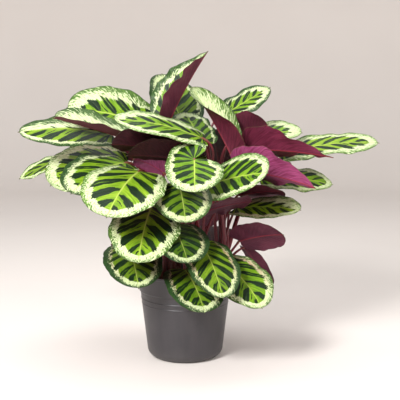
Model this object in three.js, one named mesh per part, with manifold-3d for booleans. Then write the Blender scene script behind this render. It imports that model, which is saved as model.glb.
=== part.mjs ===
import * as THREE from "three";
import { mergeVertices } from "three/addons/utils/BufferGeometryUtils.js";
import ManifoldModule from "manifold-3d";

// Potted calathea.  Millimetres, +Z up, X to the right, Y away from the viewer.
// The origin is the middle of the pot's flat underside.

// ---- driving dimensions -------------------------------------------------
const CLEARANCE = 0.3;

const POT_HEIGHT = 150;
const POT_BASE_RADIUS = 64;
const POT_FLARE = 0.116;
const POT_WALL = 1.8;
const POT_FLOOR = 2.5;
const POT_FOOT_ROUND = 16;
const RIM_BAND_HEIGHT = 32;
const RIM_BAND_PROUD = 2.2;
const RIM_LIP_PROUD = 1;
const RIM_LIP_HEIGHT = 5;
const RIDGE_DEPTH = 16;
const RIDGE_PROUD = 0.8;
const DRAIN_HOLES = 6;
const DRAIN_RADIUS = 5;
const DRAIN_RING = 36;
const DRAIN_SIDES = 10;
const POT_SIDES = 44;

const SOIL_TOP = 131;
const SOIL_CROWN = 5;

const CROWN_BOTTOM = 121;
const CROWN_TOP = 152;
const CROWN_RADIUS = 10;
const CROWN_SIDES = 10;

const STALK_RADIUS = 2.1;
const STALK_SIDES = 5;
const STALK_STEPS = 7;
const STALK_START = 140;
const STALK_REACH = 6;
const JOINT_GAP = 1.15;
const STALK_RISE = 0.55;
const STALK_TURN = 60;
const STALK_TURN_SHARE = 0.35;

const BLADE_EDGE = 0.5;
const BLADE_MIDRIB = 1.3;
const BLADE_ROWS = 6;
const BLADE_COLUMNS = 4;
const BLADE_HEEL = 2.2;
const BASE_POWER = 0.42;
const TIP_POWER = 0.47;
const TIP_SHARE = 0.018;
const EAR_REACH = 0.15;
const EAR_ROOT = 0.02;
const EAR_FADE = 3;
const HOOK_ROOT = 0.006;
const HOOK_FADE = 16;

// Where each clump of stalks comes out of the soil: [x, y].
const SHOOTS = [
  [60, -14],
  [58, 24],
  [8, -34],
  [-32, -12],
  [-14, 30],
  [24, -4],
  [-24, 55],
  [22, 56],
];

// One row for each leaf.
// shoot: the clump it grows from.  base and tip: the ends of the midrib.
// arch: how far the midrib bends down, degrees.  roll: turn about the midrib.
// fold: how far both halves stand up.  curl: how far they bow back down.
// sway: how far the stalk leans out on its way up, [x, y].
// Leaves that aren't plain ovals also have some of these:
// taper: how fast the blade narrows to its tip; a plain leaf has TIP_POWER.
// halves: the width of the left and of the right half, as shares of the plain width.
// ears: how far the left and the right half reach back past the stalk, as shares of the length.
// hook: how far an ear bends sideways over the end of the stalk, as a share of the width.
// joint: how sharply the top of the stalk turns the blade over, degrees.
// open: how much of the fold is gone at the tip.  twist: roll added from base to tip, degrees.
const LEAVES = [
  // The crown: upright leaves folded along the midrib.
  { shoot: 4, base: [-25, -3, 410], tip: [40, 6, 525], width: 112, arch: 10, roll: 15, fold: 60,
    curl: 10, open: 0.2, halves: [0.88, 0.82], taper: 0.95 },
  { shoot: 5, base: [-5, 45, 400], tip: [-43, 95, 490], width: 104, arch: 10, roll: 0, fold: 8,
    curl: 10, halves: [0.92, 1.15] },
  { shoot: 6, base: [80, -10, 348], tip: [10, 0, 466], width: 112, arch: 10, roll: -14, fold: 66,
    curl: 8, sway: [-12, 14], twist: -60, taper: 0.6, open: 0.9, halves: [0.7, 0.75] },
  { shoot: 6, base: [31, 8, 370], tip: [-2, 50, 422], width: 88, arch: 5, roll: 0, fold: 5, curl: 10 },
  // The left side, from the top down.
  { shoot: 5, base: [-64, 30, 402], tip: [-203, 10, 429], width: 110, arch: 15, roll: -60, fold: 8,
    curl: 20, halves: [0.7, 1] },
  { shoot: 5, base: [-80, -25, 373], tip: [-215, -55, 414], width: 100, arch: 4, roll: -15, fold: 30,
    curl: 8, sway: [-15, 5], halves: [1, 0.85], taper: 0.36 },
  { shoot: 5, base: [-125, 20, 384], tip: [-280, -20, 389], width: 108, arch: 22, roll: -32, fold: 10,
    curl: 15, halves: [1, 0.66] },
  { shoot: 3, base: [30, -44, 380], tip: [-112, -96, 413], width: 80, arch: 22, roll: -28, fold: 8,
    curl: 20, sway: [-12, 8] },
  { shoot: 5, base: [-145, 84, 345], tip: [-296, 52, 303], width: 72, arch: 35, roll: -18, fold: 5,
    curl: 10, sway: [-3, 26] },
  { shoot: 5, base: [-102, 60, 331], tip: [-228, -20, 298], width: 118, arch: 45, roll: -36, fold: 5,
    curl: 10 },
  { shoot: 4, base: [-100, -12, 337], tip: [-180, -104, 294], width: 112, arch: 40, roll: -20, fold: 5,
    curl: 10 },
  { shoot: 4, base: [-74, -60, 327], tip: [-114, -190, 268], width: 130, arch: 30, roll: -12, fold: 5,
    curl: 10 },
  // Undersides seen between the left leaves and the middle.
  { shoot: 3, base: [-8, -40, 352], tip: [-118, -82, 372], width: 84, arch: 15, roll: 42, fold: 20,
    curl: 10, halves: [1, 0.6] },
  { shoot: 3, base: [-5, -49, 344], tip: [-92, -90, 354], width: 80, arch: 15, roll: 40, fold: 14,
    curl: 10, halves: [1, 0.32] },
  { shoot: 4, base: [-36, -13, 321], tip: [-86, -28, 344], width: 76, arch: 30, roll: 26, fold: 5,
    curl: 10, halves: [1, 0.85] },
  // The front: leaves that hang with their faces to the viewer.
  { shoot: 3, base: [17, -104, 350], tip: [18, -146, 301], width: 92, arch: 16, roll: 4, fold: 6,
    curl: 12, taper: 0.52, ears: [0, 1.2], hook: 0.55, joint: 42 },
  { shoot: 3, base: [-9, -70, 307], tip: [4, -153, 254], width: 96, arch: 40, roll: 0, fold: 5,
    curl: 10 },
  { shoot: 3, base: [38, -58, 303], tip: [132, -136, 331], width: 102, arch: 15, roll: 42, fold: 8,
    curl: 10 },
  { shoot: 4, base: [-54, -40, 268], tip: [-70, -160, 192], width: 115, arch: 35, roll: -5, fold: 5,
    curl: 10 },
  { shoot: 3, base: [-22, -50, 236], tip: [8, -155, 191], width: 96, arch: 35, roll: 0, fold: 5,
    curl: 10 },
  { shoot: 4, base: [-96, -30, 197], tip: [-71, -130, 146], width: 98, arch: 40, roll: 0, fold: 5,
    curl: 10 },
  { shoot: 3, base: [27, -60, 208], tip: [62, -165, 138], width: 88, arch: 35, roll: 0, fold: 5,
    curl: 10 },
  { shoot: 1, base: [60, -42, 172], tip: [125, -132, 114], width: 92, arch: 40, roll: 16, fold: 5,
    curl: 10 },
  { shoot: 3, base: [0, -52, 162], tip: [34, -140, 109], width: 98, arch: 35, roll: 0, fold: 5,
    curl: 10 },
  // The right side, from the top down.
  { shoot: 2, base: [60, 58, 411], tip: [151, 68, 465], width: 80, arch: 5, roll: 28, fold: 5,
    curl: 10, sway: [21, 17] },
  { shoot: 2, base: [91, 42, 379], tip: [144, 22, 400], width: 90, arch: 10, roll: -20, fold: 32,
    curl: 8, sway: [8, 0] },
  { shoot: 2, base: [100, 74, 378], tip: [207, 54, 385], width: 90, arch: 20, roll: 22, fold: 8,
    curl: 10, sway: [14, 6] },
  { shoot: 1, base: [104, 24, 357], tip: [247, -46, 348], width: 94, arch: 12, roll: -34, fold: 24,
    curl: 10, taper: 1.4, ears: [0.15, 0.02], halves: [1, 1.12], joint: 40, sway: [10, 4] },
  { shoot: 2, base: [172, 60, 347], tip: [340, 36, 368], width: 100, arch: 22, roll: 20, fold: 5,
    curl: 10, sway: [36, 14] },
  { shoot: 1, base: [89, -18, 325], tip: [215, -72, 300], width: 108, arch: 15, roll: -40, fold: 24,
    curl: 10, taper: 1, joint: 45, sway: [12, -2] },
  { shoot: 2, base: [133, 50, 303], tip: [260, 34, 295], width: 95, arch: 20, roll: 20, fold: 5,
    curl: 10, joint: 40, sway: [24, 4], ears: [0.04, 0.04] },
  { shoot: 2, base: [92, 20, 278], tip: [165, -30, 291], width: 96, arch: 10, roll: -18, fold: 5,
    curl: 10, joint: 40, sway: [22, 0] },
  { shoot: 6, base: [35, -70, 262], tip: [112, -55, 276], width: 85, arch: 15, roll: -25, fold: 5,
    curl: 10, sway: [34, -2] },
  { shoot: 1, base: [88, 10, 257], tip: [194, -50, 261], width: 78, arch: 15, roll: 22, fold: 5,
    curl: 10, joint: 50 },
  { shoot: 1, base: [93, -10, 202], tip: [164, -70, 223], width: 78, arch: 15, roll: -42, fold: 5,
    curl: 10, joint: 60 },
  { shoot: 1, base: [103, 14, 187], tip: [151, 34, 112], width: 50, arch: 15, roll: -20, fold: 10,
    curl: 10, taper: 0.4, halves: [0.72, 0.9], joint: 60 },
  // The back.
  { shoot: 7, base: [-30, 60, 395], tip: [-105, 165, 325], width: 105, arch: 45, roll: 0, fold: 8,
    curl: 12, sway: [-8, 4] },
  { shoot: 2, base: [42, 60, 390], tip: [62, 165, 318], width: 105, arch: 40, roll: 0, fold: 8,
    curl: 12 },
  { shoot: 8, base: [85, 80, 320], tip: [190, 175, 318], width: 100, arch: 35, roll: 0, fold: 8,
    curl: 12 },
  { shoot: 7, base: [-64, 110, 306], tip: [-162, 180, 244], width: 105, arch: 45, roll: 0, fold: 8,
    curl: 12 },
  { shoot: 7, base: [-42, 86, 262], tip: [-125, 192, 232], width: 110, arch: 40, roll: 0, fold: 8,
    curl: 12 },
  { shoot: 8, base: [24, 70, 270], tip: [24, 194, 186], width: 98, arch: 40, roll: 0, fold: 8, curl: 12 },
  { shoot: 2, base: [91, 72, 257], tip: [163, 176, 230], width: 92, arch: 40, roll: 0, fold: 8,
    curl: 12 },
  { shoot: 7, base: [-52, 54, 206], tip: [-122, 162, 148], width: 96, arch: 40, roll: 0, fold: 8,
    curl: 12 },
  { shoot: 8, base: [4, 70, 190], tip: [-10, 174, 126], width: 92, arch: 40, roll: 0, fold: 8, curl: 12 },
  { shoot: 8, base: [38, 62, 216], tip: [52, 168, 156], width: 80, arch: 40, roll: 0, fold: 8, curl: 12 },
  { shoot: 7, base: [16, 66, 338], tip: [-26, 186, 302], width: 88, arch: 45, roll: 0, fold: 8,
    curl: 12 },
  { shoot: 5, base: [-10, 90, 420], tip: [-30, 190, 450], width: 95, arch: 30, roll: 0, fold: 8,
    curl: 12 },
];

// ---- materials ----------------------------------------------------------
const potPlastic = new THREE.MeshStandardMaterial({ color: 0x545155, roughness: 0.45, metalness: 0 });
const pottingMix = new THREE.MeshStandardMaterial({ color: 0x2e2119, roughness: 0.98, metalness: 0 });
const redStalk = new THREE.MeshStandardMaterial({ color: 0x7a2433, roughness: 0.5, metalness: 0 });
const leafBlade = new THREE.MeshStandardMaterial({ color: 0x86b23c, roughness: 0.5, metalness: 0 });

// ---- solid helpers ------------------------------------------------------
const wasm = await ManifoldModule();
wasm.setup();

function toSolid(geometry) {
  const plain = geometry.index ? geometry.toNonIndexed() : geometry.clone();
  plain.deleteAttribute("normal");
  plain.deleteAttribute("uv");
  const welded = mergeVertices(plain, 1e-4);
  const mesh = new wasm.Mesh({
    numProp: 3,
    vertProperties: new Float32Array(welded.attributes.position.array),
    triVerts: new Uint32Array(welded.index.array),
  });
  mesh.merge();
  return new wasm.Manifold(mesh);
}

function toGeometry(solid) {
  const mesh = solid.getMesh();
  const geometry = new THREE.BufferGeometry();
  const count = mesh.vertProperties.length / mesh.numProp;
  const positions = new Float32Array(count * 3);
  for (let i = 0; i < count; i += 1) {
    for (let axis = 0; axis < 3; axis += 1) {
      positions[i * 3 + axis] = mesh.vertProperties[i * mesh.numProp + axis];
    }
  }
  geometry.setAttribute("position", new THREE.BufferAttribute(positions, 3));
  geometry.setIndex(Array.from(mesh.triVerts));
  geometry.computeVertexNormals();
  return geometry;
}

function namedMesh(name, geometry, material) {
  const mesh = new THREE.Mesh(geometry, material);
  mesh.name = name;
  return mesh;
}

// Turn a profile of [radius, height] pairs about the upright axis.
function turned(profile, sides) {
  const points = profile.map(([radius, height]) => new THREE.Vector2(radius, height));
  const geometry = new THREE.LatheGeometry(points, sides);
  geometry.rotateX(Math.PI / 2);
  return geometry;
}

const outerRadius = (z) => POT_BASE_RADIUS + POT_FLARE * z;

// ---- pot ----------------------------------------------------------------
function footArc(radius, floor, outer, steps) {
  const points = [];
  for (let i = 0; i <= steps; i += 1) {
    const angle = (Math.PI / 2) * (i / steps);
    const x = outer - radius + radius * Math.sin(angle);
    const z = floor + radius - radius * Math.cos(angle);
    points.push([x, z]);
  }
  return points;
}

function makePot() {
  const bandBottom = POT_HEIGHT - RIM_BAND_HEIGHT;
  const ridgeFoot = bandBottom - RIDGE_DEPTH;
  const ridgeHead = bandBottom - 1.5;
  const lipBottom = POT_HEIGHT - RIM_LIP_HEIGHT;
  const lipRadius = outerRadius(POT_HEIGHT) + RIM_BAND_PROUD + RIM_LIP_PROUD;
  const outerFoot = footArc(POT_FOOT_ROUND, 0, outerRadius(POT_FOOT_ROUND), 5);
  const innerFoot = footArc(
    POT_FOOT_ROUND - POT_WALL, POT_FLOOR, outerRadius(POT_FOOT_ROUND) - POT_WALL, 4);
  const profile = [
    [0, 0],
    ...outerFoot,
    [outerRadius(ridgeFoot), ridgeFoot],
    [outerRadius(ridgeFoot + 1) + RIDGE_PROUD, ridgeFoot + 1],
    [outerRadius(ridgeHead) + RIDGE_PROUD, ridgeHead],
    [outerRadius(bandBottom) + RIM_BAND_PROUD, bandBottom],
    [outerRadius(lipBottom) + RIM_BAND_PROUD, lipBottom],
    [lipRadius, lipBottom + 1],
    [lipRadius, POT_HEIGHT - 1],
    [lipRadius - 1, POT_HEIGHT],
    [lipRadius - POT_WALL, POT_HEIGHT],
    [outerRadius(bandBottom) - POT_WALL, bandBottom],
    ...innerFoot.slice().reverse(),
    [0, POT_FLOOR],
  ];
  let solid = toSolid(turned(profile, POT_SIDES));
  for (let i = 0; i < DRAIN_HOLES; i += 1) {
    const angle = (2 * Math.PI * i) / DRAIN_HOLES;
    const hole = new THREE.CylinderGeometry(DRAIN_RADIUS, DRAIN_RADIUS, 20, DRAIN_SIDES);
    hole.rotateX(Math.PI / 2);
    hole.translate(DRAIN_RING * Math.cos(angle), DRAIN_RING * Math.sin(angle), 0);
    solid = solid.subtract(toSolid(hole));
  }
  return toGeometry(solid);
}

// ---- soil, with a pocket for each crown ---------------------------------
function makeSoil() {
  const gap = CLEARANCE;
  const inner = (z) => outerRadius(z) - POT_WALL - gap;
  const foot = footArc(
    POT_FOOT_ROUND - POT_WALL - gap, POT_FLOOR + gap,
    outerRadius(POT_FOOT_ROUND) - POT_WALL - gap, 4);
  const profile = [
    [0, POT_FLOOR + gap],
    ...foot,
    [inner(POT_HEIGHT - RIM_BAND_HEIGHT), POT_HEIGHT - RIM_BAND_HEIGHT],
    [inner(SOIL_TOP), SOIL_TOP],
    [inner(SOIL_TOP) * 0.72, SOIL_TOP + SOIL_CROWN * 0.6],
    [inner(SOIL_TOP) * 0.35, SOIL_TOP + SOIL_CROWN * 0.9],
    [0, SOIL_TOP + SOIL_CROWN],
  ];
  let solid = toSolid(turned(profile, POT_SIDES));
  for (const [x, y] of SHOOTS) {
    const depth = 40;
    const radius = CROWN_RADIUS + gap;
    const pocket = new THREE.CylinderGeometry(radius, radius, depth, CROWN_SIDES);
    pocket.rotateX(Math.PI / 2);
    pocket.translate(x, y, CROWN_BOTTOM - gap + depth / 2);
    solid = solid.subtract(toSolid(pocket));
  }
  return toGeometry(solid);
}

// ---- leaf blades --------------------------------------------------------
const radians = (degrees) => (degrees * Math.PI) / 180;

// Half-width of the oval blade, as a fraction, at t from base 0 to tip 1.
function ovalOutline(t, tipPower) {
  const peak = BASE_POWER / (BASE_POWER + tipPower);
  const top = peak ** BASE_POWER * (1 - peak) ** tipPower;
  const along = Math.min(t / (1 - TIP_SHARE), 1);
  return (along ** BASE_POWER * (1 - along) ** tipPower) / top;
}

// How strongly a point belongs to the ear on its side, as a share of the length.
function earShare(leaf, s) {
  const [left, right] = leaf.ears ?? [EAR_REACH, EAR_REACH];
  return (s < 0 ? left : right) * s ** 2;
}

// The midrib is an arc of a circle from base to tip; this gives its frame at t.
function midribFrame(leaf, t) {
  const base = new THREE.Vector3(...leaf.base);
  const chord = new THREE.Vector3(...leaf.tip).sub(base);
  const across = Math.hypot(chord.x, chord.y);
  const bend = radians(Math.max(leaf.arch, 1));
  const startPitch = Math.atan2(chord.z, across) + bend / 2;
  const length = (chord.length() * (bend / 2)) / Math.sin(bend / 2);
  const pitch = startPitch - bend * t;
  const forward = new THREE.Vector3(chord.x / across, chord.y / across, 0);
  const right = new THREE.Vector3(forward.y, -forward.x, 0);
  const up = new THREE.Vector3(0, 0, 1);
  const run = (length / bend) * (Math.sin(startPitch) - Math.sin(pitch));
  const rise = (length / bend) * (Math.cos(pitch) - Math.cos(startPitch));
  const point = base.clone().addScaledVector(forward, run).addScaledVector(up, rise);
  const tangent = forward.clone().multiplyScalar(Math.cos(pitch)).addScaledVector(up, Math.sin(pitch));
  const normal = right.clone().cross(tangent);
  const roll = radians(leaf.roll + (leaf.twist ?? 0) * (t - 0.5));
  const side = right.clone().multiplyScalar(Math.cos(roll)).addScaledVector(normal, -Math.sin(roll));
  const face = normal.clone().multiplyScalar(Math.cos(roll)).addScaledVector(right, Math.sin(roll));
  return { point, tangent, side, face };
}

// A point of the blade's middle surface; s runs from -1 to 1 across it.
function bladePoint(leaf, t, s) {
  const ear = earShare(leaf, s);
  const drawnBack = t - ear * (t / (t + EAR_ROOT)) * (1 - t) ** EAR_FADE;
  const { point, side, face } = midribFrame(leaf, drawnBack);
  const reach = (leaf.hook ?? 0) * leaf.width * ear;
  const hooked = -Math.sign(s) * reach * (t / (t + HOOK_ROOT)) * (1 - t) ** HOOK_FADE;
  const [left, right] = leaf.halves ?? [1, 1];
  const share = s < 0 ? left : right;
  const oval = share * (leaf.width / 2) * ovalOutline(t, leaf.taper ?? TIP_POWER);
  const half = Math.max(oval, BLADE_HEEL);
  const fold = radians(leaf.fold) * (1 - (leaf.open ?? 0) * t ** 2);
  const curl = radians(leaf.curl);
  const q = Math.abs(s);
  const out = ((Math.sin(fold) - Math.sin(fold - curl * q)) / curl) * Math.sign(s);
  const lift = (Math.cos(fold - curl * q) - Math.cos(fold)) / curl;
  const middle = point.clone()
    .addScaledVector(side, half * out + hooked)
    .addScaledVector(face, half * lift);
  const lean = (fold - curl * q) * Math.sign(s);
  const normal = face.clone().multiplyScalar(Math.cos(lean)).addScaledVector(side, -Math.sin(lean));
  return { middle, normal };
}

// A closed thin solid: an upper and a lower sheet joined round the edge.
function makeBlade(leaf) {
  const positions = [];
  const faces = [];
  const columns = BLADE_COLUMNS;
  const rows = BLADE_ROWS;
  const index = (layer, row, column) => (layer * (rows + 1) + row) * (columns + 1) + column;
  for (const layer of [1, -1]) {
    for (let row = 0; row <= rows; row += 1) {
      const t = (1 - Math.cos((Math.PI * row) / rows)) / 2;
      for (let column = 0; column <= columns; column += 1) {
        const s = (2 * column) / columns - 1;
        const { middle, normal } = bladePoint(leaf, t, s);
        const thickness = BLADE_EDGE + (BLADE_MIDRIB - BLADE_EDGE) * (1 - Math.abs(s)) ** 2;
        middle.addScaledVector(normal, (layer * thickness) / 2);
        positions.push(middle.x, middle.y, middle.z);
      }
    }
  }
  const quad = (a, b, c, d) => faces.push(a, b, c, a, c, d);
  for (let row = 0; row < rows; row += 1) {
    for (let column = 0; column < columns; column += 1) {
      quad(index(0, row, column), index(0, row, column + 1),
        index(0, row + 1, column + 1), index(0, row + 1, column));
      quad(index(1, row, column), index(1, row + 1, column),
        index(1, row + 1, column + 1), index(1, row, column + 1));
    }
    quad(index(1, row, 0), index(0, row, 0), index(0, row + 1, 0), index(1, row + 1, 0));
    quad(index(0, row, columns), index(1, row, columns),
      index(1, row + 1, columns), index(0, row + 1, columns));
  }
  for (let column = 0; column < columns; column += 1) {
    quad(index(0, 0, column), index(1, 0, column), index(1, 0, column + 1), index(0, 0, column + 1));
    quad(index(1, rows, column), index(0, rows, column),
      index(0, rows, column + 1), index(1, rows, column + 1));
  }
  const geometry = new THREE.BufferGeometry();
  geometry.setAttribute("position", new THREE.BufferAttribute(new Float32Array(positions), 3));
  geometry.setIndex(faces);
  return toGeometry(toSolid(geometry));
}

// ---- stalks, joined into one crown per shoot ----------------------------
function stalkCurve(leaf) {
  const [x, y] = SHOOTS[leaf.shoot - 1];
  const [swayX, swayY] = leaf.sway ?? [0, 0];
  const { point, tangent, face } = midribFrame(leaf, 0);
  const joint = radians(leaf.joint ?? 0);
  const arrival = tangent.clone().multiplyScalar(Math.cos(joint)).addScaledVector(face, Math.sin(joint));
  const setBack = CLEARANCE + JOINT_GAP * Math.sin(joint);
  const end = point.clone().addScaledVector(arrival, -setBack);
  const turn = Math.min(STALK_TURN, STALK_TURN_SHARE * (end.z - STALK_START));
  const spread = Math.atan2(end.y - y, end.x - x);
  const reach = Math.min(STALK_REACH, Math.hypot(end.x - x, end.y - y));
  const start = new THREE.Vector3(
    x + reach * Math.cos(spread), y + reach * Math.sin(spread), STALK_START);
  const rising = start.clone().add(
    new THREE.Vector3(swayX, swayY, STALK_RISE * (end.z - STALK_START)));
  const arriving = end.clone().addScaledVector(arrival, -turn);
  return new THREE.CubicBezierCurve3(start, rising, arriving, end);
}

function makeStalk(leaf) {
  const outline = new THREE.Shape();
  for (let i = 0; i < STALK_SIDES; i += 1) {
    const angle = (2 * Math.PI * i) / STALK_SIDES;
    const x = STALK_RADIUS * Math.cos(angle);
    const y = STALK_RADIUS * Math.sin(angle);
    if (i === 0) {
      outline.moveTo(x, y);
    } else {
      outline.lineTo(x, y);
    }
  }
  outline.closePath();
  const tube = new THREE.ExtrudeGeometry(outline, {
    steps: STALK_STEPS,
    bevelEnabled: false,
    extrudePath: stalkCurve(leaf),
  });
  return toSolid(tube);
}

function makeShoot(number) {
  const [x, y] = SHOOTS[number - 1];
  const collar = turned([
    [0, CROWN_BOTTOM],
    [CROWN_RADIUS, CROWN_BOTTOM],
    [CROWN_RADIUS, SOIL_TOP + SOIL_CROWN],
    [CROWN_RADIUS * 0.72, CROWN_TOP],
    [0, CROWN_TOP],
  ], CROWN_SIDES);
  collar.translate(x, y, 0);
  const stalks = LEAVES.filter((leaf) => leaf.shoot === number).map(makeStalk);
  return toGeometry(wasm.Manifold.union([toSolid(collar), ...stalks]));
}

// ---- the object ---------------------------------------------------------
const plant = new THREE.Group();
plant.name = "potted_calathea";
plant.add(namedMesh("pot", makePot(), potPlastic));
plant.add(namedMesh("soil", makeSoil(), pottingMix));
SHOOTS.forEach((_, i) => {
  plant.add(namedMesh(`shoot_${i + 1}`, makeShoot(i + 1), redStalk));
});
LEAVES.forEach((leaf, i) => {
  const number = String(i + 1).padStart(2, "0");
  plant.add(namedMesh(`leaf_${number}`, makeBlade(leaf), leafBlade));
});

export default plant;
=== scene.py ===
# %% [markdown]
# # A potted calathea
#
# A calathea is a clump of slender red stalks, and each stalk carries one oval blade.  The blade
# is lime green with dark green stripes, it has a cream band inside a green rim, and it is wine
# red underneath.  The plant grows in a plain plastic nursery pot.
#
# The packed CAD model is loaded first.  It fixes where every piece is, so each new piece below
# is worked out in the same frame: metres, Z up, and the origin under the middle of the pot.

import bpy
import numpy as np
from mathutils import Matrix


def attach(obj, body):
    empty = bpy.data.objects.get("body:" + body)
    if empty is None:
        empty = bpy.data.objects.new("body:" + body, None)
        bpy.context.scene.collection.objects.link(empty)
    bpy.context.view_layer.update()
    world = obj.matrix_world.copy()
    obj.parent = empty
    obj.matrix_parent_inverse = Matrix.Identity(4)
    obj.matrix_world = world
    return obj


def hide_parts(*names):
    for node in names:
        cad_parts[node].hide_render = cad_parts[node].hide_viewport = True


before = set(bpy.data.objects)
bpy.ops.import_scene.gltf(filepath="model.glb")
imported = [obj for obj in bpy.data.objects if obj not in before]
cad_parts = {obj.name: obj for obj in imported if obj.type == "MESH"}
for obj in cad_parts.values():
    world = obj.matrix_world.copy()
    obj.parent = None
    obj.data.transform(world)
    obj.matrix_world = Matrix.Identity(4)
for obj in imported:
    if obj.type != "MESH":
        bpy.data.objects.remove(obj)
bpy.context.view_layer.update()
MM = 0.001
print("nodes in the frame:", len(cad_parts))

# %% [markdown]
# ## Camera
#
# The plant stands on a table and is looked at from a little above its pot, as a person would
# look who sits at that table.  A long lens from 1.4 m keeps the front leaves from swelling.

# %% Camera
CAMERA_PLACE = (0.026, -1.417, 0.446)
CAMERA_DOWN = 7
LENS_MM = 74.7
SENSOR_MM = 36

camera_data = bpy.data.cameras.new("camera")
camera_data.lens = LENS_MM
camera_data.sensor_width = SENSOR_MM
camera = bpy.data.objects.new("camera", camera_data)
camera.location = CAMERA_PLACE
camera.rotation_euler = (np.radians(90 - CAMERA_DOWN), 0, 0)
bpy.context.collection.objects.link(camera)
bpy.context.scene.camera = camera
print("camera at", CAMERA_PLACE, "looks", CAMERA_DOWN, "degrees down")

# %% [markdown]
# ## Meshes from arrays
#
# Every new shape here is a grid of points worked out by numpy.  One helper puts such arrays
# into a Blender mesh in bulk, which is far quicker than adding points one by one, and it also
# stores what a material wants to know about each point, such as how far it is from the edge.

# %% A mesh from arrays
def grid_quads(rows, columns, closed=False):
    """Four corners for each cell of a grid: the next column first, then the next row.
    A closed grid joins its last column to its first."""
    row = np.arange(rows - 1)[:, None]
    column = np.arange(columns if closed else columns - 1)[None, :]
    after = (column + 1) % columns
    corners = [row * columns + column, row * columns + after,
               (row + 1) * columns + after, (row + 1) * columns + column]
    return np.stack(np.broadcast_arrays(*corners), axis=-1).reshape(-1, 4)


print("a closed grid of 3 by 8 points has", len(grid_quads(3, 8, closed=True)), "faces")

# %% Arrays into a Blender mesh
def add_mesh(name, points, faces, material, maps=None, sharp=50):
    """Points are (n, 3).  Faces are a list of index arrays, each (m, 3) or (m, 4).
    Maps are named (n, 3) arrays that the material reads as attributes.  Edges that
    turn by more than sharp degrees are shaded as corners."""
    corners = np.concatenate([part.ravel() for part in faces])
    sizes = np.concatenate([np.full(len(part), part.shape[1]) for part in faces])
    starts = np.concatenate([[0], np.cumsum(sizes)[:-1]])
    mesh = bpy.data.meshes.new(name)
    mesh.vertices.add(len(points))
    mesh.vertices.foreach_set("co", np.ascontiguousarray(points, np.float32).ravel())
    mesh.loops.add(len(corners))
    mesh.loops.foreach_set("vertex_index", corners.astype(np.int32))
    mesh.polygons.add(len(sizes))
    mesh.polygons.foreach_set("loop_start", starts.astype(np.int32))
    mesh.update(calc_edges=True)
    mesh.validate()
    for key, values in (maps or {}).items():
        layer = mesh.attributes.new(key, "FLOAT_VECTOR", "POINT")
        layer.data.foreach_set("vector", np.ascontiguousarray(values, np.float32).ravel())
    mesh.shade_smooth()
    mesh.set_sharp_from_angle(angle=np.radians(sharp))
    mesh.materials.append(material)
    piece = bpy.data.objects.new(name, mesh)
    bpy.context.collection.objects.link(piece)
    return piece


print("meshes of the CAD model:", len(bpy.data.meshes))

# %% A profile turned on a lathe
def turned(profile, sides):
    """A profile of (radius, height) pairs, carried round the upright axis.
    The first and the last pair lie on the axis, where the faces close as fans."""
    angle = np.linspace(0, 2 * np.pi, sides, endpoint=False)
    radius, height = profile[1:-1, 0], profile[1:-1, 1]
    rings = np.stack([radius[:, None] * np.cos(angle), radius[:, None] * np.sin(angle),
                      np.broadcast_to(height[:, None], (len(radius), sides))], axis=-1)
    poles = [[0, 0, profile[0, 1]], [0, 0, profile[-1, 1]]]
    points = np.concatenate([rings.reshape(-1, 3), poles])
    first, last = len(points) - 2, len(points) - 1
    here = np.arange(sides)
    after = (here + 1) % sides
    below = np.stack([np.full(sides, first), after, here], axis=-1)
    top_row = (len(radius) - 1) * sides
    above = np.stack([top_row + here, top_row + after, np.full(sides, last)], axis=-1)
    return points, [grid_quads(len(radius), sides, closed=True), below, above]


peg_points, _ = turned(np.array([[0, 0], [1, 0], [1, 1], [0, 1]]), 8)
print("a peg with 8 sides has", len(peg_points), "points, two of them on the axis")

# %% [markdown]
# ## Finishes as formulas
#
# A procedural finish is a sum of simple things: distances, waves and noise.  Blender draws such
# sums as a web of nodes, and a small class lets them be written down as short formulas instead.
# Values that are the same all over a surface are set on the shader itself.

# %% Colours
def tint(red, green, blue):
    """A colour given as eye values from 0 to 255, turned into the linear values of light."""
    eye = np.array([red, green, blue]) / 255
    light = np.where(eye < 0.04045, eye / 12.92, ((eye + 0.055) / 1.055) ** 2.4)
    return (*light.tolist(), 1.0)


print("middle grey in linear light:", round(tint(128, 128, 128)[0], 3))

# %% Values that can be added and multiplied
class Value:
    """The output of a node.  Adding to it or multiplying it makes a node that does so."""

    def __init__(self, finish, socket):
        self.finish, self.socket = finish, socket

    def __add__(self, other):
        return self.finish.math("ADD", self, other)

    def __radd__(self, other):
        return self.finish.math("ADD", other, self)

    def __mul__(self, other):
        return self.finish.math("MULTIPLY", self, other)

    def __neg__(self):
        return self * -1.0

    def __sub__(self, other):
        return self + -other


print("values can be joined with + - and *")

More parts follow.
